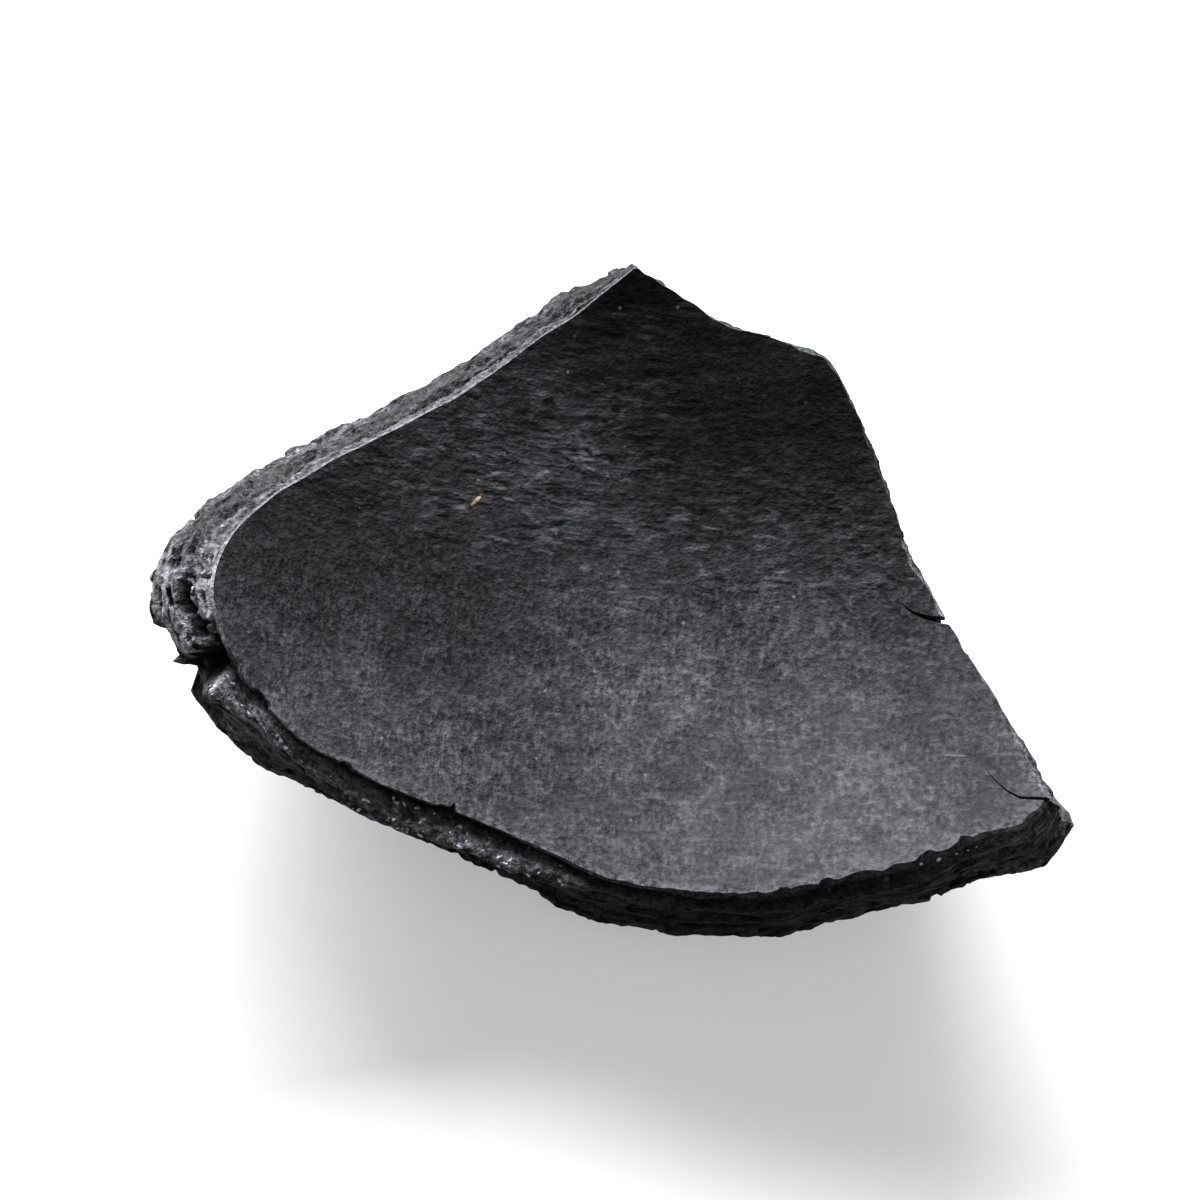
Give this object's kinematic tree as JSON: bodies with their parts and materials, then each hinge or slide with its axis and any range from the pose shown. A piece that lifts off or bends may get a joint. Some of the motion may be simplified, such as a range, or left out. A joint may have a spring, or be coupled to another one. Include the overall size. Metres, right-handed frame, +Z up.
{
  "type": "coconut shell charcoal piece",
  "caption": "Curved piece of charred coconut shell with a dished hollow side, a rounded back and a rough, layered broken edge, lying on its back.",
  "frame": {"origin": "under the middle of the piece, at the height of the surface that it lies on", "axes": "+X along its length, away from the end where the layers have split; +Y across it, towards the pointed tip; +Z up, out of the hollow side"},
  "size_m": [0.0564, 0.0396, 0.012],
  "materials": {
    "charcoal": "matte black char, with a fine grain and small glints on the broken edge"
  },
  "bodies": {
    "root": {"shell_shard": "charcoal"}
  },
  "joints": []
}
